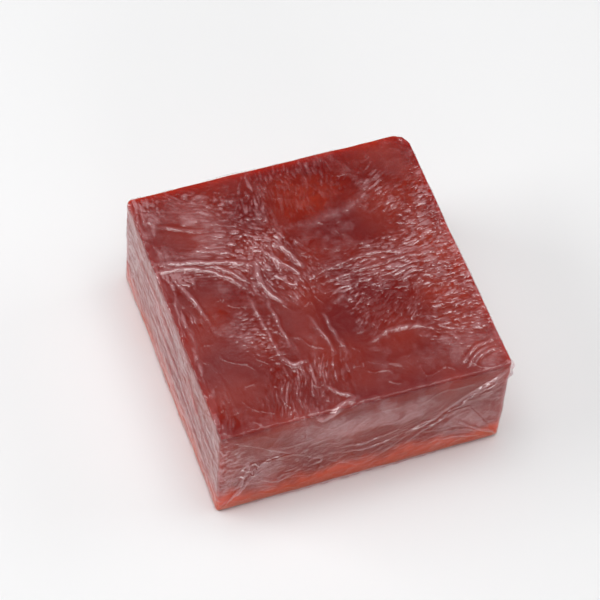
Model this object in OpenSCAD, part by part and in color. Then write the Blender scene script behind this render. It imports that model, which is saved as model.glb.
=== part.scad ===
// Clay bar in a clear film wrap.
//
// A square bar of soft detailing clay, wrapped in one sheet of clear film. The film goes under the
// bar, up both sides and laps on top. Each end is closed by an envelope fold: two side ears turned in
// first, then the bottom flap turned up, then the top flap turned down. The sheet is divided at its
// own fold lines, one solid for each flat panel between them, and each panel hinges at its fold.
// Every panel lies in a plane of its own, so that the closed wrap has no two panels touching.
// Millimetres. +Z up, origin at the middle of the underside. The front end faces -Y.

/* [Bar] */
// Width of the bar, left to right
bar_w = 70; // [50:1:90]
// Depth of the bar, front to back
bar_d = 70; // [50:1:90]
// Height of the bar
bar_h = 30; // [28:1:40]
// Radius of the upright edges
corner_r = 2.4; // [1.5:0.1:4]
// Radius of the level edges
edge_r = 1.2; // [0.8:0.1:2]

/* [Film] */
// Film thickness, heavier than the real film so that it makes a solid
film_t = 0.12; // [0.08:0.02:0.2]
// Clearance between the film and the bar, and along a fold line
cling = 0.05; // [0.03:0.01:0.1]
// Clearance between two layers of film
layer_gap = 0.1; // [0.08:0.01:0.3]
// Width of the lap on top
lap_w = 12; // [8:1:20]
// Distance of the lap's right edge to the right of the bar's middle
lap_right_x = -3; // [-6:1:6]

/* [End folds] */
// Length of the top flap
top_flap_l = 25; // [20:1:27]
// Length of the bottom flap
bottom_flap_l = 17; // [10:1:17]
// How far a top flap's slanted side moves inward for each millimetre down
top_slant = 1.35; // [0.9:0.05:1.4]
// How far a bottom flap's slanted side moves inward for each millimetre up
bottom_slant = 0.55; // [0.4:0.05:0.8]
// How far an ear's lower slanted side moves inward for each millimetre up
ear_slant = 1; // [0.6:0.05:1]
// Height of the upright part of a flap's side, where it covers the ear behind it
fold_over = 1; // [0.5:0.1:2]

/* [Hidden] */
$fn = 48;

clay_red = [0.48, 0.10, 0.09];
film_clear = [0.92, 0.86, 0.88, 0.3];

bar_z = film_t + cling;                         // underside of the bar
under_z = bar_z + bar_h + cling;                // underside of the lap's lower panel
over_z = under_z + film_t + layer_gap;          // underside of the lap's upper panel
side_x = bar_w / 2 + cling;                     // inner face of a side panel
outer_x = side_x + film_t;

// Where an ear's two slanted sides meet, from its fold line and from the ear's foot
ear_h = bar_h - cling;
ear_tip_z = ear_h * top_slant / (top_slant + ear_slant);
ear_tip_in = ear_slant * ear_tip_z;

// An end's film layers, counted outward from the bar
EAR = 0;
BOTTOM_FLAP = 1;
TOP_FLAP_UNDER = 2;
TOP_FLAP_OVER = 3;

// Distance from the middle of the bar to the inner face of an end's layer
function layer_y(layer) = bar_d / 2 + cling + layer * (film_t + layer_gap);

// A rectangle with round corners, centred
module round_rect(w, h, r) {
    square([w - 2 * r, h], center = true);
    square([w, h - 2 * r], center = true);
    for (x = [-1, 1], y = [-1, 1])
        translate([x * (w / 2 - r), y * (h / 2 - r)]) circle(r);
}

// A flat film panel between two corners, centred in Y
module panel(x_from, x_to, z_from, z_to, length) {
    color(film_clear)
    translate([x_from, -length / 2, z_from])
    cube([x_to - x_from, length, z_to - z_from]);
}

// Children drawn in the XZ plane become a film layer on the front end
module front_layer(layer) {
    color(film_clear)
    translate([0, -layer_y(layer), 0]) rotate([90, 0, 0]) linear_extrude(film_t) children();
}

// The same piece on the back end
module on_back() {
    mirror([0, 1, 0]) children();
}

module clay_bar() {
    color(clay_red)
    translate([0, 0, bar_z + bar_h / 2])
    intersection() {
        linear_extrude(bar_h, center = true) round_rect(bar_w, bar_d, corner_r);
        rotate([90, 0, 0]) linear_extrude(bar_d, center = true) round_rect(bar_w, bar_h, edge_r);
        rotate([90, 0, 90]) linear_extrude(bar_w, center = true) round_rect(bar_d, bar_h, edge_r);
    }
}

module film_bottom() {
    panel(-bar_w / 2, bar_w / 2, 0, film_t, 2 * (layer_y(BOTTOM_FLAP) - cling));
}

module film_left_side() {
    panel(-outer_x, -side_x, 0, under_z - cling, bar_d);
}

module film_right_side() {
    panel(side_x, outer_x, 0, over_z - cling, bar_d);
}

module film_top_under() {
    panel(-outer_x, lap_right_x, under_z, under_z + film_t, 2 * (layer_y(TOP_FLAP_UNDER) - cling));
}

module film_top_over() {
    panel(lap_right_x - lap_w, outer_x, over_z, over_z + film_t, 2 * (layer_y(TOP_FLAP_OVER) - cling));
}

// The triangle of film turned in behind the flaps. side is 1 on the right and -1 on the left
module ear(side) {
    front_layer(EAR)
    translate([side * outer_x, bar_z])
    polygon([[0, 0], [0, ear_h], [-side * ear_tip_in, ear_tip_z]]);
}

// A trapezium that stands on the bottom fold
module bottom_flap() {
    half_w = bar_w / 2;
    free_half_w = half_w - bottom_slant * (bottom_flap_l - fold_over);
    front_layer(BOTTOM_FLAP)
    polygon([
        [-half_w, 0], [half_w, 0], [half_w, fold_over],
        [free_half_w, bottom_flap_l], [-free_half_w, bottom_flap_l], [-half_w, fold_over]
    ]);
}

// The part from x_from to x_to of a pointed flap that hangs from the top fold, cut off at its length
module top_flap(x_from, x_to, layer, fold_z) {
    front_layer(layer)
    translate([0, fold_z])
    intersection() {
        polygon([
            [-outer_x, 0], [outer_x, 0], [outer_x, -fold_over],
            [0, -fold_over - outer_x / top_slant], [-outer_x, -fold_over]
        ]);
        translate([x_from, -top_flap_l]) square([x_to - x_from, top_flap_l]);
    }
}

module top_flap_under() {
    top_flap(-outer_x, lap_right_x, TOP_FLAP_UNDER, under_z + film_t);
}

module top_flap_over() {
    top_flap(lap_right_x - lap_w, outer_x, TOP_FLAP_OVER, over_z + film_t);
}

clay_bar();
film_bottom();
film_left_side();
film_right_side();
film_top_under();
film_top_over();
ear(-1);  // front_left_ear
ear(1);  // front_right_ear
bottom_flap();  // front_bottom_flap
top_flap_under();  // front_top_flap_under
top_flap_over();  // front_top_flap_over
on_back() ear(-1);  // back_left_ear
on_back() ear(1);  // back_right_ear
on_back() bottom_flap();  // back_bottom_flap
on_back() top_flap_under();  // back_top_flap_under
on_back() top_flap_over();  // back_top_flap_over
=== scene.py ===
"""A translucent clay bar in a wrinkled clear film wrap, on a pale floor.

The bar is a rounded block. Each panel of the film is a fine grid that follows the block's surface and
is lifted off it by one relief: creases, gathers and ripples, given as functions of the place on the
block, so that neighbouring panels meet at their folds. Sizes here are in millimetres and are turned
into metres where a mesh is made. Places are counted from the middle of the bar.
"""
import itertools
import math

import bpy
import numpy as np
from mathutils import Matrix, Vector


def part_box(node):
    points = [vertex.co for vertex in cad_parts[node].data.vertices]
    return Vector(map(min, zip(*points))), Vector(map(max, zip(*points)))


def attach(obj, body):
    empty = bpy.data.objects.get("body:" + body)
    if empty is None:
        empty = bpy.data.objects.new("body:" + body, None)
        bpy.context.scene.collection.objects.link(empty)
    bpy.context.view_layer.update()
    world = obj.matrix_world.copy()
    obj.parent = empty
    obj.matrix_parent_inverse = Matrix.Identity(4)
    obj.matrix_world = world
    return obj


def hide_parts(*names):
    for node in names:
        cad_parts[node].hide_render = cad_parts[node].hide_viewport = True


MM = 0.001

# ---------------------------------------------------------------- the CAD parts' sizes

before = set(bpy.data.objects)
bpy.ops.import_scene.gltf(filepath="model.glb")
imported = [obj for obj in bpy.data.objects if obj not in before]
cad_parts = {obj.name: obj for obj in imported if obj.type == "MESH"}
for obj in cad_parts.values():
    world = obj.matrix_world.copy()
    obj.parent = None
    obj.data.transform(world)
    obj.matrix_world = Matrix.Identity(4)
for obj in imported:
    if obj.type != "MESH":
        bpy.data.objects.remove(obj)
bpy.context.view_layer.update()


def box_mm(node):
    """The low and high corners of a CAD node."""
    low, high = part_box(node)
    return np.array(low) / MM, np.array(high) / MM


bar_low, bar_high = box_mm("clay_bar")
BAR_MIDDLE = (bar_low + bar_high) / 2
BAR_HALF = (bar_high - bar_low) / 2
HALF_W, HALF_D, HALF_H = BAR_HALF
TOP, FRONT, BACK = HALF_H, -HALF_D, HALF_D

OVER_EDGE_X = box_mm("film_top_over")[0][0]  # free edge of the lap's upper panel
UNDER_EDGE_X = box_mm("film_top_under")[1][0]  # free edge of the lap's lower panel
FLAP_TOP_L = np.ptp(box_mm("front_top_flap_over"), axis=0)[2]
FLAP_BOTTOM_L = np.ptp(box_mm("front_bottom_flap"), axis=0)[2]
EAR_L = np.ptp(box_mm("front_left_ear"), axis=0)[0]
TOP_SLANT = 1.35  # inward for each millimetre down
BOTTOM_SLANT = 0.55  # inward for each millimetre up

EDGE_RADIUS = 0.6  # the soft bar's worn edges
FILM_OFF = 0.06  # the film's least distance from the bar
LAYER = 0.22  # between two layers of film
COVERED_FLATTER, COVERED_DULLER = 0.4, 0.85  # share of its relief and its shine that a covered layer lacks
LEAST_HEIGHT = 0.02  # of the film over what the bar stands on

# ---------------------------------------------------------------- smooth noise


def noise(p, seed):
    """Smooth noise from about -1 to 1 at places p, with one lump for each unit of length."""
    rng = np.random.default_rng(seed)
    order = rng.permutation(256)
    slopes = rng.normal(size=(256, 3))
    slopes /= np.linalg.norm(slopes, axis=1)[:, None]
    cell = np.floor(p).astype(int)
    inside = p - cell
    ease = inside**3 * (inside * (inside * 6 - 15) + 10)
    total = np.zeros(len(p))
    for corner in itertools.product((0, 1), repeat=3):
        at = (cell + corner) & 255
        key = order[(order[(order[at[:, 0]] + at[:, 1]) & 255] + at[:, 2]) & 255]
        share = np.where(corner, ease, 1 - ease).prod(axis=1)
        total += share * np.einsum("ij,ij->i", slopes[key], inside - corner)
    return total * 1.7


def wander(p, size, reach, seed):
    """Places p moved about by up to reach, in lumps of the given size."""
    moved = [noise(p / size, seed + axis) for axis in range(3)]
    return p + reach * np.stack(moved, axis=1)


def smooth(x, start, end):
    """0 before start, 1 after end, and a smooth step between them."""
    t = np.clip((x - start) / (end - start), 0, 1)
    return t * t * (3 - 2 * t)


def patch(p, centre, reach, soft=0.6):
    """1 inside an ellipsoid and 0 outside it. It fades over a share soft of its reach, either way."""
    distance = np.linalg.norm((p - centre) / reach, axis=1)
    return 1 - smooth(distance, 1 - soft, 1 + soft)


def curve(points, steps=10):
    """Points on a smooth line through a few given ones."""
    points = [np.array(point, float) for point in points]
    padded = [2 * points[0] - points[1], *points, 2 * points[-1] - points[-2]]
    out = []
    for a, b, c, d in zip(padded, padded[1:], padded[2:], padded[3:]):
        for t in np.linspace(0, 1, steps, endpoint=False):
            straight = 2 * b + (c - a) * t
            bend = (2 * a - 5 * b + 4 * c - d) * t**2
            twist = (3 * b - a - 3 * c + d) * t**3
            out.append(0.5 * (straight + bend + twist))
    return np.array([*out, points[-1]])


def crease(p, points, width):
    """Two values from 0 to 1 near a smooth line through points: one that falls off about a width
    away, and one that is high beside the line. Both fade towards its ends."""
    line = curve(points)
    on_line, beside = np.zeros(len(p)), np.zeros(len(p))
    reaches = np.ptp(line, axis=0).max() + 4 * width
    near = np.linalg.norm(p - line.mean(axis=0), axis=1) < reaches
    q = p[near]
    distance = np.full(len(q), np.inf)
    place = np.zeros(len(q))  # along the line, from 0 to 1
    for i, (a, b) in enumerate(zip(line, line[1:])):
        t = np.clip((q - a) @ (b - a) / max((b - a) @ (b - a), 1e-9), 0, 1)
        d = np.linalg.norm(q - a - t[:, None] * (b - a), axis=1)
        closer = d < distance
        distance[closer] = d[closer]
        place[closer] = (i + t[closer]) / (len(line) - 1)
    fade = np.sin(np.pi * np.clip(place, 0.02, 0.98)) ** 0.5
    narrow = fade * np.exp(-((distance / width) ** 2))
    wide = fade * np.exp(-((distance / (2 * width)) ** 2))
    on_line[near], beside[near] = narrow, wide - narrow
    return on_line, beside


# ---------------------------------------------------------------- the block's surface

X, Y, Z = np.eye(3)
FACES = {  # which way a face looks, and its two directions
    "top": (Z, X, Y),
    "bottom": (-Z, X, Y),
    "left": (-X, Y, Z),
    "right": (X, Y, Z),
    "front": (-Y, X, Z),
    "back": (Y, X, Z),
}
QUARTER = EDGE_RADIUS * math.pi / 4  # along the surface, from a flat's end to the edge's middle


def reach(direction):
    """From the middle of a face to the middle of its rounded edge, along the surface."""
    return float(BAR_HALF @ np.abs(direction)) - EDGE_RADIUS + QUARTER


REACH_X, REACH_Y, REACH_Z = reach(X), reach(Y), reach(Z)


def on_block(face, a, b):
    """Places on the block and the outward directions there. a and b are distances along the
    surface from the face's middle, and may run to the middle of its rounded edges."""
    out, first, second = FACES[face]
    place = np.multiply.outer(np.ones(a.shape), out * (BAR_HALF @ np.abs(out) - EDGE_RADIUS))
    lean = np.multiply.outer(np.ones(a.shape), out)
    for value, direction in ((a, first), (b, second)):
        flat = BAR_HALF @ np.abs(direction) - EDGE_RADIUS
        straight = np.clip(value, -flat, flat)
        place += straight[..., None] * direction
        lean += np.tan((value - straight) / EDGE_RADIUS)[..., None] * direction
    lean /= np.linalg.norm(lean, axis=-1, keepdims=True)
    return place + EDGE_RADIUS * lean, lean


# For the edge at each corner, keyed by its side (1 is right) and its end (1 is back)
CORNER_CUT = {(1, 1): 1.3, (-1, 1): 0.5, (1, -1): 0.4, (-1, -1): 0.2}  # how far it is worn in
CORNER_RISE = {(-1, -1): 0.35, (1, -1): -0.45}  # how high its top stands


def settle(p):
    """The hand-cut bar isn't quite square: its upright edges are worn, and its top corners stand a
    little high or low."""
    moved = p.copy()
    for (side, end), cut in CORNER_CUT.items():
        gap = (2 - side * p[..., 0] / HALF_W - end * p[..., 1] / HALF_D) * HALF_W
        worn = cut * (1 - smooth(gap, 0, 3 * cut)) / math.sqrt(2)
        moved[..., 0] -= side * worn
        moved[..., 1] -= end * worn
    u, v = np.clip(p[..., 0] / HALF_W, -1, 1), np.clip(p[..., 1] / HALF_D, -1, 1)
    for (side, end), height in CORNER_RISE.items():
        share = (1 + side * u) * (1 + end * v) / 4
        moved[..., 2] += height * share * (p[..., 2] + HALF_H) / (2 * HALF_H)
    return moved


def lumps(p):
    """The bar's own shallow unevenness."""
    return 0.16 * noise(p / 11, 3) + 0.05 * noise(p / 4, 4)


# ---------------------------------------------------------------- the film's relief

# Long creases on top: (points, width, height)
TOP_CREASES = {
    "left_upper": ([(-34, 15, TOP), (-26, 13, TOP), (-18, 10.5, TOP), (-12, 8, TOP)], 0.55, 0.42),
    "left_lower": ([(-34.5, 12.8, TOP), (-27, 11.5, TOP), (-21, 8, TOP), (-16.5, 2.8, TOP)], 0.5, 0.40),
    "left_branch": ([(-24, 11.5, TOP), (-19, 8.5, TOP), (-15, 4, TOP)], 0.4, 0.35),
    "left_back": ([(-31, 25.5, TOP), (-25, 22.5, TOP), (-20, 20.5, TOP)], 0.5, 0.3),
    "left_short": ([(-30.5, 8, TOP), (-29, 2, TOP), (-27, -5.5, TOP)], 0.5, 0.35),
    "knot_left": ([(-12, 9, TOP), (-12.5, 2, TOP), (-9, -4.5, TOP)], 0.5, 0.7),
    "knot_right": ([(-5, 12, TOP), (-3.5, 8.5, TOP), (-1.8, 4.5, TOP)], 0.5, 1.0),
    "knot_middle": ([(-7.5, 10, TOP), (-6.3, 6.5, TOP), (-3.5, 3, TOP)], 0.45, 0.9),
    "knot_cross": ([(-9.5, 11.5, TOP), (-8, 9.5, TOP), (-7, 5, TOP)], 0.4, 0.7),
    "knot_foot": ([(-7, 1.5, TOP), (-5.5, 0, TOP), (-4, 1.5, TOP)], 0.45, 0.6),
    "lap_left_outer": ([(-16.5, 0, TOP), (-15.8, -9, TOP), (-15, -18, TOP)], 0.4, 0.35),
    "lap_left_inner": ([(-12.8, -1, TOP), (-12.5, -9, TOP), (-12, -16, TOP)], 0.4, 0.3),
    "lap_left_hook": ([(-15, -18, TOP), (-13, -20.8, TOP), (-9.5, -20.5, TOP)], 0.45, 0.5),
    "lap_right_outer": ([(-5, -9, TOP), (-4.2, -14, TOP), (-2.5, -20.5, TOP)], 0.4, 0.32),
    "lap_right_inner": ([(-1.8, -9, TOP), (-1.2, -14, TOP), (-0.3, -20, TOP)], 0.4, 0.3),
    "saddle": ([(2, 15.5, TOP), (8, 16.5, TOP), (14, 17.5, TOP), (19, 20, TOP)], 1.2, 0.18),
    "stretch_upper": ([(0, 1.5, TOP), (8, 3, TOP), (16, 3.5, TOP), (22, 2, TOP)], 0.4, 0.25),
    "stretch_middle": ([(-2, -1.5, TOP), (8, -0.5, TOP), (22, 0.5, TOP), (32, -0.5, TOP)], 0.4, 0.22),
    "oval_lower": ([(6, -20, TOP), (12, -18, TOP), (20, -19, TOP)], 0.5, 0.3),
    "corner_outer": ([(24, -31.5, TOP), (28, -28.5, TOP), (33.5, -27, TOP)], 0.45, 0.4),
    "corner_inner": ([(26, -32.8, TOP), (29.5, -30.5, TOP), (33, -30, TOP)], 0.4, 0.3),
    "corner_middle": ([(25, -32.5, TOP), (28.3, -30, TOP), (31.5, -28.8, TOP)], 0.4, 0.35),
    "front_bulge": ([(-13, -34, TOP), (-11, -35, 13.4), (-6, -34.2, TOP), (-2, -33, TOP)], 0.6, 0.5),
    "front_bulge_tail": ([(-8, -28.5, TOP), (-5.5, -31, TOP), (-2.5, -33, TOP)], 0.45, 0.45),
}

# Creases on the ends and sides, in the same way
SIDE_CREASES = {
    "corner_tuft": ([(34.5, -34, TOP), (35, -35, 12.5), (34, -35, 9)], 0.45, 1.0),
    "corner_tuft_side": ([(35, -33.5, 13), (35, -34.8, 11), (35, -35, 8)], 0.35, 0.8),
    "flap_edge": ([(34, FRONT, 13.5), (26, FRONT, 6.5), (18, FRONT, 0), (10, FRONT, -7)], 0.35, 0.65),
    "flap_crumple": ([(32, FRONT, 11), (30, FRONT, 8.5), (27, FRONT, 7)], 0.4, 1.1),
    "flap_crumple_above": ([(31.5, FRONT, 13), (29, FRONT, 11), (25, FRONT, 9)], 0.4, 0.8),
    "flap_crumple_below": ([(17, FRONT, 2), (13.5, FRONT, 0.5), (10, FRONT, -1)], 0.4, 0.7),
    "ear_edge": ([(22, FRONT, -2), (27, FRONT, -7), (33.5, FRONT, -13)], 0.35, 0.7),
    "ear_wrinkle": ([(20, FRONT, -6), (24, FRONT, -6.5), (28, FRONT, -9)], 0.35, 0.7),
    "ear_wrinkle_below": ([(19, FRONT, -9), (24, FRONT, -9.7), (29, FRONT, -12)], 0.35, 0.6),
    "fold": ([(-6, FRONT, 0), (0, FRONT, -0.5), (8, FRONT, 1.5)], 0.35, 0.5),
    "fold_below": ([(-5, FRONT, -2.5), (2, FRONT, -3), (9, FRONT, -1)], 0.35, 0.45),
    "left_fold": ([(-34, FRONT, -13), (-30, FRONT, -7.5), (-26, FRONT, -1)], 0.45, 0.9),
    "left_star": ([(-28.5, FRONT, 3), (-27.5, FRONT, 0), (-27, FRONT, -3.5)], 0.5, 1.3),
    "left_star_across": ([(-31, FRONT, 1), (-28, FRONT, 0.3), (-23, FRONT, 1.5)], 0.4, 1.0),
    "left_star_branch": ([(-28, FRONT, 0), (-29.5, FRONT, -4.5), (-31, FRONT, -7)], 0.4, 1.0),
    "left_star_upper": ([(-33, FRONT, 2), (-27, FRONT, 1.6), (-20, FRONT, 2.6)], 0.35, 0.8),
    "left_star_lower": ([(-31, FRONT, -2), (-27.5, FRONT, -2.3), (-25, FRONT, -1.6)], 0.35, 0.8),
    "left_star_foot": ([(-25, FRONT, -5), (-21, FRONT, -7.5), (-17, FRONT, -7)], 0.4, 0.6),
    "foot": ([(-33, FRONT, -14.6), (-10, FRONT, -14.3), (12, FRONT, -14.6), (33, FRONT, -14.2)], 0.5, 0.5),
    "back_flap_left": ([(-34, BACK, 13), (-25, BACK, 6), (-17, BACK, 0), (-9, BACK, -7)], 0.45, 0.9),
    "back_flap_right": ([(33, BACK, 13), (24, BACK, 6), (16, BACK, 1), (9, BACK, -6)], 0.45, 0.8),
    "back_fold": ([(-14, BACK, 3), (-4, BACK, 0), (9, BACK, 2)], 0.5, 0.7),
    "back_fold_below": ([(-20, BACK, -7), (-8, BACK, -5), (6, BACK, -6)], 0.5, 0.7),
    "right_upper": ([(HALF_W, -30, 9), (HALF_W, -8, 7), (HALF_W, 14, 2)], 0.5, 0.6),
    "right_lower": ([(HALF_W, -12, -6), (HALF_W, 8, -3), (HALF_W, 32, -8)], 0.5, 0.6),
    "side_upper": ([(-HALF_W, 28, 6), (-HALF_W, 8, 8), (-HALF_W, -12, 3)], 0.6, 0.5),
    "side_middle": ([(-HALF_W, 20, -2), (-HALF_W, 0, 1), (-HALF_W, -26, -4)], 0.6, 0.5),
    "side_lower": ([(-HALF_W, 6, -6), (-HALF_W, -14, -5), (-HALF_W, -33, -10)], 0.6, 0.5),
    "side_front": ([(-HALF_W, -10, 10), (-HALF_W, -20, 4), (-HALF_W, -32, 2)], 0.5, 0.6),
}

# Streaky regions: (centre, reach, along, pitch, length, height)
STREAKS = {
    "right_edge": ((33, -2, TOP), (9, 26, 9), (1, 0.05, 0), 1.0, 6, 0.19),
    "right_of_middle": ((17, -2, TOP), (14, 8, 6), (1, 0.04, 0), 1.2, 9, 0.18),
    "right_front": ((28, -22, TOP), (8, 9, 6), (1, -0.35, 0), 1.2, 6, 0.16),
    "right_back": ((28, 20, TOP), (9, 9, 6), (1, 0.45, 0), 1.5, 7, 0.13),
    "oval": ((13, -11, TOP), (7, 8, 6), (1, 0.8, 0), 1.1, 5, 0.15),
    "front_gathers": ((-12, -28, TOP), (12, 8, 10), (0.25, 1, 0), 1.1, 9, 0.15),
    "left_front": ((-20, -12, TOP), (7, 8, 6), (1, -0.2, 0), 1.1, 5, 0.12),
    "left_middle": ((-20, 14, TOP), (14, 9, 6), (1, -0.35, 0), 1.3, 8, 0.14),
    "left_back": ((-24, 27, TOP), (12, 8, 6), (1, -0.5, 0), 1.6, 8, 0.09),
    "back_middle": ((3, 26, TOP), (13, 9, 6), (0.1, 1, 0), 1.6, 8, 0.10),
    "knot": ((-7, 6, TOP), (8, 9, 6), (-0.45, 1, 0), 1.2, 5, 0.22),
    "left_side": ((-HALF_W, 0, 0), (8, 45, 19), (0, 1, 0.12), 1.8, 20, 0.6),
    "right_side": ((HALF_W, 0, 0), (8, 45, 19), (0, 1, -0.3), 1.9, 14, 0.16),
    "front_end": ((0, FRONT, -4), (40, 8, 12), (1, 0, 0.3), 1.8, 6, 0.08),
    "back_end": ((0, BACK, -4), (40, 8, 12), (1, 0, 0.2), 1.9, 7, 0.07),
}

# Where the film lies wetted to the bar and looks dark: (centre, reach)
WETTED = {
    "back_oval": ((6, 24, TOP), (12, 7, 8)),
    "right_oval": ((13, -11, TOP), (6, 6.5, 8)),
    "front_left": ((-27, -19, TOP), (11, 16, 8)),
    "left_lens": ((-HALF_W, -17.5, 7), (8, 6, 6)),
    "left": ((-28, 2, TOP), (7, 5, 8)),
    "back_left": ((-27, 20, TOP), (7, 4.5, 8)),
    "front": ((5, -31, TOP), (18, 4, 8)),
    "lap": ((-9, -10, TOP), (3.5, 8, 8)),
    "knot": ((-4, 6, TOP), (3.5, 5, 5)),
    "knot_right": ((2, 9, TOP), (4, 4, 5)),
    "back_right": ((29, 27, TOP), (5, 7, 8)),
    "front_foot": ((0, FRONT, -13), (40, 8, 5)),
    "front_fold": ((2, FRONT, -1), (14, 8, 4)),
    "front_upper_right": ((23, FRONT, 10), (6, 8, 4)),
    "front_upper_left": ((-27, FRONT, 10), (6, 8, 4)),
}

# Where air lies under the film and it looks milky: (centre, reach)
AIRY = {
    "back_band": ((-12, 26, TOP), (9, 7, 8)),
    "left_back": ((-22, 13, TOP), (11, 7, 8)),
    "left_front": ((-19, -8, TOP), (5, 8, 8)),
    "above_knot": ((-7, 15, TOP), (4, 6, 8)),
    "right_of_knot": ((12, 11, TOP), (9, 4, 8)),
    "lap_left": ((-14.5, -9, TOP), (2.5, 9, 8)),
    "lap_right": ((-2.5, -15, TOP), (3, 7, 8)),
    "triangle": ((4, -8, TOP), (3, 7, 8)),
    "right": ((22, 3, TOP), (9, 9, 8)),
    "front_middle": ((9, -23, TOP), (8, 4, 8)),
    "left_side": ((-HALF_W, 5, 0), (8, 30, 8)),
    "front_patch": ((-10, FRONT, -4), (3, 8, 4)),
    "front_upper": ((-2, FRONT, 9), (16, 8, 4)),
    "front_left_end": ((-22, FRONT, -3), (8, 8, 6)),
    "front_right_end": ((24, FRONT, -8), (6, 8, 5)),
}

# Where the film is drawn smooth: (centre, reach)
CALM = {
    "front_left": ((-27, -17, TOP), (7, 12, 8)),
    "lap": ((-9, -11, TOP), (3, 7, 8)),
    "front_top": ((3, FRONT, 9), (22, 8, 8)),
    "front_left_end": ((-29, FRONT, -2), (7, 8, 14)),
    "front_right_end": ((27, FRONT, 0), (8, 8, 14)),
    "right_corner": ((27, -29, TOP), (8, 6, 8)),
    "back_right": ((29, 28, TOP), (4, 5, 8)),
    "back_left": ((-27, 21, TOP), (9, 8, 8)),
    "left": ((-27, 3, TOP), (5, 4, 8)),
}

# Where light comes up through the bar and it looks orange, painted as glow in the clay's colour: (centre,
# reach)
PAINTED_GLOW_AREAS = {
    "back_oval": ((7, 24, TOP), (9, 6, 8)),
    "right_edge": ((30, 2, TOP), (7, 22, 5)),
    "right_corner": ((30, -30, TOP), (5, 4, 5)),
    "back_edge": ((0, BACK, TOP), (40, 1.5, 3)),
    "knot": ((-6, 8, TOP), (1.5, 3, 4)),
}


def share_of(areas, p):
    """From 0 to 1, how far places p lie in any of the areas."""
    return np.max([patch(p, centre, extent) for centre, extent in areas.values()], axis=0)


def stretched(p, along, pitch, length):
    """Places in units of the pitch across a direction and of the length along it."""
    along = np.array(along) / np.linalg.norm(along)
    return p / pitch + np.outer(p @ along, along) * (1 / length - 1 / pitch)


def grain(p, seed):
    """Fine streaks from about -1 to 1, with each region's own direction and strength."""
    moved = wander(p, 7, 1.1, seed)
    total = 0.12 * noise(moved / 0.8, seed + 3)
    for i, (centre, extent, along, pitch, length, height) in enumerate(STREAKS.values()):
        where = patch(p, centre, extent)
        near = where > 0
        broad = noise(stretched(moved[near], along, pitch, length), seed + 10 + i)
        fine = noise(stretched(moved[near], along, 0.5 * pitch, 0.45 * length), seed + 40 + i)
        total[near] += where[near] * height * (2.5 * broad + 5.0 * fine)
    return total


def creases(p):
    """The long creases: their height, and how far a place lies in the trough beside one."""
    moved = wander(p, 3, 0.35, 30)
    total = np.zeros(len(p))
    trough = np.zeros(len(p))
    for points, width, height in (*TOP_CREASES.values(), *SIDE_CREASES.values()):
        on_line, beside = crease(moved, points, width)
        total = np.maximum(total, height * on_line)
        trough = np.maximum(trough, beside)
    return total * (0.5 + 0.5 * smooth(noise(p / 2.2, 33), -0.4, 0.3)), trough


def airiness(p):
    """About 0 or less where the film is wetted to the bar, and about 1 where air lies under it."""
    moved = wander(wander(p, 5, 3, 50), 2, 0.8, 55)
    return (
        0.55
        + 0.3 * noise(moved / 9, 60)
        + 0.3 * noise(moved / 3, 61)
        + 0.45 * share_of(AIRY, moved)
        - 0.7 * share_of(WETTED, moved)
    )


# The most that each kind of relief lifts the film
AIR_LIFT, RIDGE_LIFT, FURROW_DROP, NET_LIFT = 0.12, 0.11, 0.09, 0.12
# The haze of each: wherever the film isn't wetted, over air, on fine ridges and on long creases
BASE_HAZE, AIR_HAZE, RIDGE_HAZE, CREASE_HAZE = 0.15, 0.9, 0.3, 0.9
FULL_HAZE_CREASE = 0.35  # height at which a long crease looks its haziest


def relief(p):
    """How far the film lies off the block, and how hazy it looks, at places p on the block.
    Ridges and furrows follow lines along which the grain is zero, and gather in bunches. A net of
    faint raised lines joins them."""
    rough = 1 - 0.75 * share_of(CALM, wander(p, 4, 1.5, 80))
    streak = rough * grain(p, 200)
    air = smooth(airiness(p) + 0.8 * streak, 0.0, 1.1)
    ridge = rough * np.clip(1 - 3.0 * np.abs(grain(p, 300)), 0, 1)
    furrow = rough * np.clip(1.3 - 3.5 * np.abs(grain(p, 400)), 0, 1)
    gathered = 0.2 + 0.8 * smooth(noise(p / 4.5, 85) + 0.6 * noise(p / 1.8, 86), 0.1, 0.8)
    gathered *= 1 - 0.6 * share_of(PAINTED_GLOW_AREAS, p)
    fold, trough = creases(p)
    net = np.clip(1 - 2.5 * np.abs(noise(wander(p, 6, 2.5, 70) / 6, 71)), 0, 1) ** 3
    lift = FILM_OFF + AIR_LIFT * air + RIDGE_LIFT * ridge * gathered - FURROW_DROP * furrow
    lift += fold + NET_LIFT * net
    haze = (BASE_HAZE + AIR_HAZE * air) * (1 - furrow) * np.clip(1 - 2 * trough, 0, 1)
    haze += RIDGE_HAZE * gathered * ridge**2
    haze += CREASE_HAZE * np.clip(fold / FULL_HAZE_CREASE, 0, 1)
    return lift, np.clip(haze, 0, 1)


# ---------------------------------------------------------------- meshes


def grid_object(name, places, out, **values):
    """A smooth-shaded grid of quads through places, an array of rows by columns by 3, that faces out.
    values are kept on its points, for the materials."""
    rows, columns = places.shape[:2]
    corner = np.arange(rows * columns).reshape(rows, columns)
    quads = np.stack([corner[:-1, :-1], corner[:-1, 1:], corner[1:, 1:], corner[1:, :-1]], axis=-1)
    middle = rows // 2, columns // 2
    along = places[middle[0], middle[1] + 1] - places[middle]
    up = places[middle[0] + 1, middle[1]] - places[middle]
    if np.cross(along, up) @ out < 0:
        quads = quads[..., ::-1]
    mesh = bpy.data.meshes.new(name)
    points = (places + BAR_MIDDLE).reshape(-1, 3)
    points[:, 2] = np.maximum(points[:, 2], LEAST_HEIGHT)
    mesh.from_pydata(points * MM, [], quads.reshape(-1, 4))
    mesh.shade_smooth()
    for key, value in values.items():
        mesh.attributes.new(key, "FLOAT", "POINT").data.foreach_set("value", value.ravel())
    piece = bpy.data.objects.new(name, mesh)
    bpy.context.scene.collection.objects.link(piece)
    return piece


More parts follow.
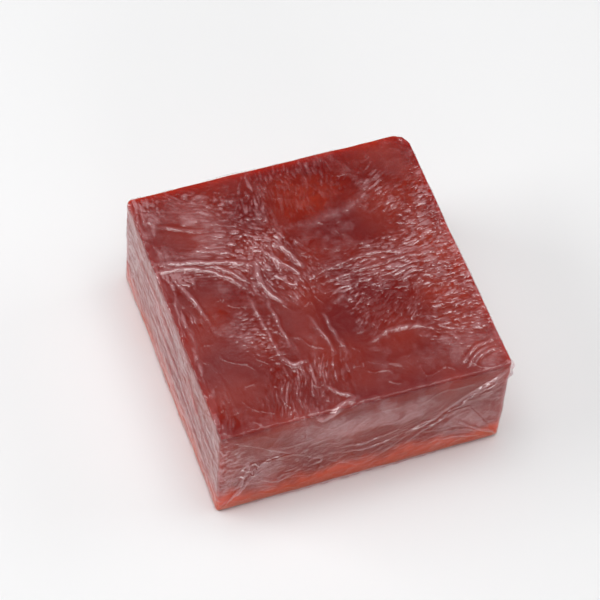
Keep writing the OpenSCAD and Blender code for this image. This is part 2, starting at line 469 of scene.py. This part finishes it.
def film_panel(node, body, face, a, b, layer=0.0, covered=0.0):
    """One panel of film on a face of the block. a and b are grids of distances along the surface.
    layer lifts it over the panels beneath. covered is 1 where another panel lies over it: there it
    lies flatter and hardly shines."""
    place, out = on_block(face, a, b)
    points = place.reshape(-1, 3)
    lift, haze = relief(points)
    lift = lift.reshape(a.shape) * (1 - COVERED_FLATTER * covered)
    lift += lumps(points).reshape(a.shape) + LAYER * layer
    shine = 1 - COVERED_DULLER * covered * np.ones(a.shape)
    piece = grid_object(
        "wrap_" + node,
        settle(place + lift[..., None] * out),
        FACES[face][0],
        haze=haze.reshape(a.shape) * shine,
        shine=shine,
    )
    piece.data.materials.append(film_material)
    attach(piece, body)
    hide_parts(node)


def span(start, end, step):
    """Evenly spaced values about a step apart."""
    return np.linspace(start, end, max(int(round(abs(end - start) / step)), 2) + 1)


# ---------------------------------------------------------------- materials

# The film's milky white is tinted pink, which stands in for the bar's red light scattered in it: painted
# light on a real milkiness
MILKY_PINK = (1.0, 0.53, 0.56, 1)
MOST_MILK = 0.285  # share of the light that the haziest film scatters
CLEAR_SHINE, HAZY_SHINE = 0.011, 0.10  # what clear and hazy film mirror when seen square on
# The clay's deep red, and the orange of the painted glow, which stands in for light coming through the
# clay
DEEP_RED, PAINTED_GLOW_ORANGE = (0.155, 0.0046, 0.004, 1), (0.74, 0.09, 0.035, 1)
FLOOR_WHITE = (0.86, 0.86, 0.865, 1)


def new_material(name):
    """An empty node material, with its nodes, its links and its output."""
    material = bpy.data.materials.new(name)
    material.use_nodes = True
    nodes, links = material.node_tree.nodes, material.node_tree.links
    nodes.clear()
    return material, nodes, links, nodes.new("ShaderNodeOutputMaterial")


def ranged(nodes, links, value, to_min, to_max, from_min=0.0, from_max=1.0):
    """A node that brings a value from one range to another."""
    node = nodes.new("ShaderNodeMapRange")
    node.inputs["From Min"].default_value = from_min
    node.inputs["From Max"].default_value = from_max
    node.inputs["To Min"].default_value = to_min
    node.inputs["To Max"].default_value = to_max
    links.new(value, node.inputs["Value"])
    return node


def product(nodes, links, first, second):
    """A node that multiplies two values."""
    node = nodes.new("ShaderNodeMath")
    node.operation = "MULTIPLY"
    links.new(first, node.inputs[0])
    links.new(second, node.inputs[1])
    return node


def make_film_material():
    """Clear film: it lets the bar show, mirrors like plastic and is milky where air lies under it. The
    milk's pink is painted light, standing in for the bar's red light scattered in the film.
    """
    material, nodes, links, output = new_material("clear_film")
    milk = nodes.new("ShaderNodeAttribute")
    milk.attribute_name = "haze"
    place = nodes.new("ShaderNodeTexCoord")
    speckle = nodes.new("ShaderNodeTexNoise")
    speckle.inputs["Scale"].default_value = 1 / (0.5 * MM)
    speckle.inputs["Detail"].default_value = 2.0
    speckle.inputs["Distortion"].default_value = 0.6
    links.new(place.outputs["Object"], speckle.inputs["Vector"])
    uneven = ranged(nodes, links, speckle.outputs["Fac"], 0.75, 1.25, from_min=0.35, from_max=0.65)
    haze = product(nodes, links, milk.outputs["Fac"], uneven.outputs["Result"])
    crinkle = nodes.new("ShaderNodeBump")
    crinkle.inputs["Strength"].default_value = 0.5
    crinkle.inputs["Distance"].default_value = 0.04 * MM
    links.new(speckle.outputs["Fac"], crinkle.inputs["Height"])
    clear = nodes.new("ShaderNodeBsdfTransparent")
    milky = nodes.new("ShaderNodeBsdfDiffuse")
    milky.inputs["Color"].default_value = MILKY_PINK
    cloud = ranged(nodes, links, haze.outputs[0], 0.0, MOST_MILK)
    body = nodes.new("ShaderNodeMixShader")
    links.new(cloud.outputs["Result"], body.inputs["Fac"])
    links.new(clear.outputs[0], body.inputs[1])
    links.new(milky.outputs[0], body.inputs[2])
    mirror = nodes.new("ShaderNodeBsdfGlossy")
    mirror.inputs["Roughness"].default_value = 0.06
    links.new(crinkle.outputs["Normal"], mirror.inputs["Normal"])
    slant = nodes.new("ShaderNodeLayerWeight")
    slant.inputs["Blend"].default_value = 0.5
    steep = nodes.new("ShaderNodeMath")
    steep.operation = "POWER"
    steep.inputs[1].default_value = 4.5
    links.new(slant.outputs["Facing"], steep.inputs[0])
    share = ranged(nodes, links, steep.outputs[0], 0.0, 1.0)
    head_on = ranged(nodes, links, haze.outputs[0], CLEAR_SHINE, HAZY_SHINE)
    links.new(head_on.outputs["Result"], share.inputs["To Min"])
    shine = nodes.new("ShaderNodeAttribute")
    shine.attribute_name = "shine"
    strength = product(nodes, links, share.outputs["Result"], shine.outputs["Fac"])
    surface = nodes.new("ShaderNodeMixShader")
    links.new(strength.outputs[0], surface.inputs["Fac"])
    links.new(body.outputs[0], surface.inputs[1])
    links.new(mirror.outputs[0], surface.inputs[2])
    links.new(surface.outputs[0], output.inputs["Surface"])
    return material


def make_clay_material():
    """Deep red clay, a little uneven and greasy. Its colour goes from deep red towards orange with a
    random tone and with painted glow, which stands in for light coming through the clay.
    """
    material, nodes, links, output = new_material("red_clay")
    clay = nodes.new("ShaderNodeBsdfPrincipled")
    clay.inputs["Specular IOR Level"].default_value = 0.1
    place = nodes.new("ShaderNodeTexCoord")
    pores = nodes.new("ShaderNodeTexNoise")
    pores.inputs["Scale"].default_value = 1 / (1.4 * MM)
    pores.inputs["Detail"].default_value = 4.0
    pores.inputs["Roughness"].default_value = 0.6
    links.new(place.outputs["Object"], pores.inputs["Vector"])
    greasy = ranged(nodes, links, pores.outputs["Fac"], 0.28, 0.55, from_min=0.3, from_max=0.7)
    links.new(greasy.outputs["Result"], clay.inputs["Roughness"])
    uneven = nodes.new("ShaderNodeBump")
    uneven.inputs["Strength"].default_value = 0.6
    uneven.inputs["Distance"].default_value = 0.15 * MM
    links.new(pores.outputs["Fac"], uneven.inputs["Height"])
    links.new(uneven.outputs["Normal"], clay.inputs["Normal"])
    clay.inputs["Subsurface Weight"].default_value = 0.6
    clay.inputs["Subsurface Radius"].default_value = (1.0, 0.15, 0.08)
    clay.inputs["Subsurface Scale"].default_value = 0.02
    # A random tone, and painted glow that stands in for light coming through the clay, mix its colour
    # towards orange
    glow = nodes.new("ShaderNodeAttribute")
    glow.attribute_name = "glow"
    colour = nodes.new("ShaderNodeMix")
    colour.data_type = "RGBA"
    colour.inputs["A"].default_value = DEEP_RED
    colour.inputs["B"].default_value = PAINTED_GLOW_ORANGE
    links.new(glow.outputs["Fac"], colour.inputs["Factor"])
    links.new(colour.outputs["Result"], clay.inputs["Base Color"])
    links.new(clay.outputs[0], output.inputs["Surface"])
    return material


def make_floor_material():
    """Matt white."""
    material, nodes, links, output = new_material("pale_floor")
    matt = nodes.new("ShaderNodeBsdfDiffuse")
    matt.inputs["Color"].default_value = FLOOR_WHITE
    links.new(matt.outputs[0], output.inputs["Surface"])
    return material


film_material = make_film_material()
clay_material = make_clay_material()

# ---------------------------------------------------------------- the camera

BAR_SIDE = 2 * HALF_W
CAMERA_AZIMUTH = -23.98
CAMERA_ELEVATION = 54.47
CAMERA_ROLL = 5.5
CAMERA_DISTANCE = 9.63 * BAR_SIDE
CAMERA_TARGET = np.array([-0.0175, 0.0795, 0.219]) * BAR_SIDE
LENS, SENSOR = 171.9, 36  # focal length and sensor width


def heading(azimuth, elevation):
    """From the bar towards a place at an azimuth, counted from the front, and an elevation."""
    a, e = math.radians(azimuth), math.radians(elevation)
    return Vector((math.sin(a) * math.cos(e), -math.cos(a) * math.cos(e), math.sin(e)))


def make_camera():
    """A long lens that looks down at the bar from its front left, rolled a little."""
    back = heading(CAMERA_AZIMUTH, CAMERA_ELEVATION)
    data = bpy.data.cameras.new("camera")
    data.lens = LENS
    data.sensor_width = SENSOR
    camera = bpy.data.objects.new("camera", data)
    bpy.context.scene.collection.objects.link(camera)
    turn = (-back).to_track_quat("-Z", "Y").to_matrix().to_4x4()
    roll = Matrix.Rotation(math.radians(CAMERA_ROLL), 4, "Z")
    place = Matrix.Translation((Vector(CAMERA_TARGET) + back * CAMERA_DISTANCE) * MM)
    camera.matrix_world = place @ turn @ roll
    bpy.context.scene.camera = camera


make_camera()

# ---------------------------------------------------------------- the bar

BAR_STEP = 0.7  # of its grids
# Painted glow: orange in the clay's colour that stands in for light coming through it, at the foot of each
# face, below the top's edge and where light comes up under the film
PAINTED_GLOW_H = 6.0  # middle height of the orange glow's ragged upper edge
FOOT_PAINTED_GLOW = {"front": 0.95, "left": 0.7}  # the light comes from the front left
OTHER_FOOT_PAINTED_GLOW = 0.65
SIDE_PAINTED_GLOW = 0.12
AREA_PAINTED_GLOW, VEIN_PAINTED_GLOW = 0.06, 0.1


def glow_on(face, p):
    """From 0, deep red, to 1, orange, at places p on a face of the bar: a random tone, and painted glow
    that stands in for light coming through the clay.
    """
    # Painted glow in a band with a ragged upper edge, at the foot of each face
    edge_h = PAINTED_GLOW_H + 2.2 * noise(p / 7, 90) + 1.2 * noise(p / 2.2, 91)
    foot = 1 - smooth(p[:, 2] + HALF_H - edge_h, -4.5, 3)
    painted_glow_veins = np.clip(1 - 3 * np.abs(noise(wander(p, 5, 3, 94) / 3, 97)), 0, 1)
    glow = 0.07 + 0.10 * noise(p / 9, 92) + FOOT_PAINTED_GLOW.get(face, OTHER_FOOT_PAINTED_GLOW) * foot
    # Painted glow everywhere below the top's edge, so that the sides are lighter than the top
    glow += SIDE_PAINTED_GLOW * smooth(TOP - p[:, 2], 0.3, 2)
    # Painted glow, with veins, in the areas where light comes up through the bar
    glow += (AREA_PAINTED_GLOW + VEIN_PAINTED_GLOW * painted_glow_veins) * share_of(PAINTED_GLOW_AREAS, p)
    return np.clip(glow, 0, 1)


def make_bar():
    """The clay block: six grids joined at the middles of the rounded edges."""
    parts = []
    for face, (_, first, second) in FACES.items():
        a, b = np.meshgrid(
            span(-reach(first), reach(first), BAR_STEP), span(-reach(second), reach(second), BAR_STEP)
        )
        place, out = on_block(face, a, b)
        points = place.reshape(-1, 3)
        lift = lumps(points).reshape(a.shape)
        part = grid_object(
            "clay_" + face,
            settle(place + lift[..., None] * out),
            FACES[face][0],
            # A random tone and painted glow, kept on the clay's points
            glow=glow_on(face, points),
        )
        parts.append(part)
    with bpy.context.temp_override(
        active_object=parts[0], selected_objects=parts, selected_editable_objects=parts
    ):
        bpy.ops.object.join()
    bar = parts[0]
    bar.name = "clay_block"
    bar.data.materials.append(clay_material)
    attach(bar, "core")
    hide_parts("clay_bar")


make_bar()

# ---------------------------------------------------------------- the film

FINEST, FINE, COARSE = 0.2, 0.25, 0.8  # grid steps on top, on the sides and underneath
# How many points across and up a flap's grid
EAR_GRID, BOTTOM_FLAP_GRID, TOP_FLAP_GRID = (90, 150), (350, 90), (240, 130)
TIP_W = 0.5  # of a flap that would end in a point
EAR_SHARE = 0.98  # of an ear's length, short of its point
BLEND = 0.3  # over which covered film changes to uncovered
FOLD_RISE = 0.1  # share of a flap's length in which it rises to its layer


def lapped(a):
    """1 where the upper panel and its flaps lie over the lower ones, and 0 to the right of there."""
    return 1 - smooth(a, UNDER_EDGE_X, UNDER_EDGE_X + 1)


def make_sleeve():
    """The panels round the bar: under it, up its sides and lapped on top."""
    a, b = np.meshgrid(span(-REACH_X, REACH_X, COARSE), span(-REACH_Y, REACH_Y, COARSE))
    film_panel("film_bottom", "core", "bottom", a, b)
    a, b = np.meshgrid(span(-REACH_Y, REACH_Y, FINE), span(-REACH_Z, REACH_Z, FINE))
    film_panel("film_left_side", "left_side", "left", a, b)
    film_panel("film_right_side", "right_side", "right", a, b)
    deep = span(-REACH_Y, REACH_Y, FINEST)
    a, b = np.meshgrid(span(-REACH_X, UNDER_EDGE_X, FINEST), deep)
    covered = smooth(a, OVER_EDGE_X, OVER_EDGE_X + BLEND)
    film_panel("film_top_under", "top_under", "top", a, b, covered=covered)
    a, b = np.meshgrid(span(OVER_EDGE_X, REACH_X, FINEST), deep)
    film_panel("film_top_over", "top_over", "top", a, b, layer=lapped(a))


def unit_grid(counts):
    """Two grids of values from 0 to 1, across and up."""
    across, up = counts
    return np.meshgrid(np.linspace(0, 1, across), np.linspace(0, 1, up))


def under_flap(a, depth, length, slant):
    """1 where an end flap of the given length lies over a place, and 0 where none does. a is the
    place's distance along the end, and depth its distance from the flap's fold."""
    sideways = 1 - smooth(np.abs(a) - REACH_X + slant * depth, -BLEND, BLEND)
    return sideways * (1 - smooth(depth, length - BLEND, length + BLEND))


def make_ear(end, side, sign):
    """The triangle turned in at one side of an end. sign is 1 on the right and -1 on the left."""
    inward, up = unit_grid(EAR_GRID)
    inward *= EAR_SHARE
    a = sign * (REACH_X - inward * EAR_L)
    low, high = -REACH_Z + inward * EAR_L, REACH_Z - inward * EAR_L / TOP_SLANT
    b = low + (high - low) * up
    covered = np.maximum(
        under_flap(a, REACH_Z - b, FLAP_TOP_L, TOP_SLANT),
        under_flap(a, REACH_Z + b, FLAP_BOTTOM_L, BOTTOM_SLANT),
    )
    name = f"{end}_{side}_ear"
    film_panel(name, name, end, a, b, covered=covered)


def make_bottom_flap(end):
    """The trapezium turned up over the ears."""
    across, up = unit_grid(BOTTOM_FLAP_GRID)
    a = (2 * across - 1) * (REACH_X - BOTTOM_SLANT * up * FLAP_BOTTOM_L)
    b = -REACH_Z + up * FLAP_BOTTOM_L
    covered = under_flap(a, REACH_Z - b, FLAP_TOP_L, TOP_SLANT)
    name = f"{end}_bottom_flap"
    film_panel(name, name, end, a, b, layer=smooth(up, 0, FOLD_RISE), covered=covered)


def make_top_flap(end, part, start, finish):
    """One of the two parts of the flap turned down last, from start to finish along the end."""
    along, down = unit_grid(TOP_FLAP_GRID)
    length = min(FLAP_TOP_L, (REACH_X + finish - TIP_W) / TOP_SLANT)
    half = REACH_X - TOP_SLANT * down * length
    left, right = np.maximum(start, -half), np.minimum(finish, half)
    a = left + (right - left) * along
    b = REACH_Z - down * length
    if part == "over":
        covered, at_fold, at_edge = 0.0, lapped(a), 3
    else:
        covered, at_fold, at_edge = smooth(a, OVER_EDGE_X, OVER_EDGE_X + BLEND), 0.0, 2
    layer = at_fold + (at_edge - at_fold) * smooth(down, 0, FOLD_RISE)
    name = f"{end}_top_flap_{part}"
    film_panel(name, name, end, a, b, layer=layer, covered=covered)


def make_end(end):
    """The envelope fold on one end: two ears, then the bottom flap, then the two-part top flap."""
    make_ear(end, "left", -1)
    make_ear(end, "right", 1)
    make_bottom_flap(end)
    make_top_flap(end, "under", -REACH_X, UNDER_EDGE_X)
    make_top_flap(end, "over", OVER_EDGE_X, REACH_X)


make_sleeve()
make_end("front")
make_end("back")

# ---------------------------------------------------------------- floor and lights

FLOOR_HALF = 3.0  # metres
LAMP_DISTANCE = 0.9  # metres


def make_floor():
    """A pale floor, much larger than the view."""
    corners = [(x * FLOOR_HALF, y * FLOOR_HALF, 0) for x, y in ((-1, -1), (1, -1), (1, 1), (-1, 1))]
    mesh = bpy.data.meshes.new("floor")
    mesh.from_pydata(corners, [], [(0, 1, 2, 3)])
    mesh.materials.append(make_floor_material())
    floor = bpy.data.objects.new("floor", mesh)
    bpy.context.scene.collection.objects.link(floor)
    return floor


def softbox(name, azimuth, elevation, width, height, watts):
    """A rectangular lamp that faces the bar from the given direction."""
    towards = heading(azimuth, elevation)
    data = bpy.data.lights.new(name, "AREA")
    data.shape = "RECTANGLE"
    data.size, data.size_y = width, height
    data.energy = watts
    lamp = bpy.data.objects.new(name, data)
    bpy.context.scene.collection.objects.link(lamp)
    lamp.location = towards * LAMP_DISTANCE
    lamp.rotation_euler = (-towards).to_track_quat("-Z", "Y").to_euler()
    return lamp


def make_sky(low, high, start, end):
    """A pale surround, with brightness low near the horizon and high overhead. It changes over
    directions whose upward part runs from start to end, out of 1 straight up."""
    world = bpy.data.worlds.new("surround")
    world.use_nodes = True
    nodes, links = world.node_tree.nodes, world.node_tree.links
    place = nodes.new("ShaderNodeTexCoord")
    parts = nodes.new("ShaderNodeSeparateXYZ")
    links.new(place.outputs["Generated"], parts.inputs[0])
    grade = ranged(nodes, links, parts.outputs["Z"], low, high, from_min=start, from_max=end)
    grade.interpolation_type = "SMOOTHSTEP"
    background = nodes["Background"]
    background.inputs["Color"].default_value = (1, 1, 1, 1)
    links.new(grade.outputs["Result"], background.inputs["Strength"])
    bpy.context.scene.world = world


make_sky(low=0.03, high=0.84, start=0.70, end=0.92)
glints = softbox("glints", -12, 20, width=0.6, height=0.32, watts=2.1)
glints.visible_diffuse = False  # it shows only as glints on the film
make_floor()
softbox("overhead", 156, 87, width=0.7, height=0.5, watts=4.0)
softbox("left", -110, 30, width=0.6, height=0.4, watts=3.7)
softbox("front", -5, 16, width=0.5, height=0.25, watts=1.6)
softbox("right", 85, 30, width=0.5, height=0.4, watts=1.4)
bpy.context.scene.view_settings.view_transform = "Standard"
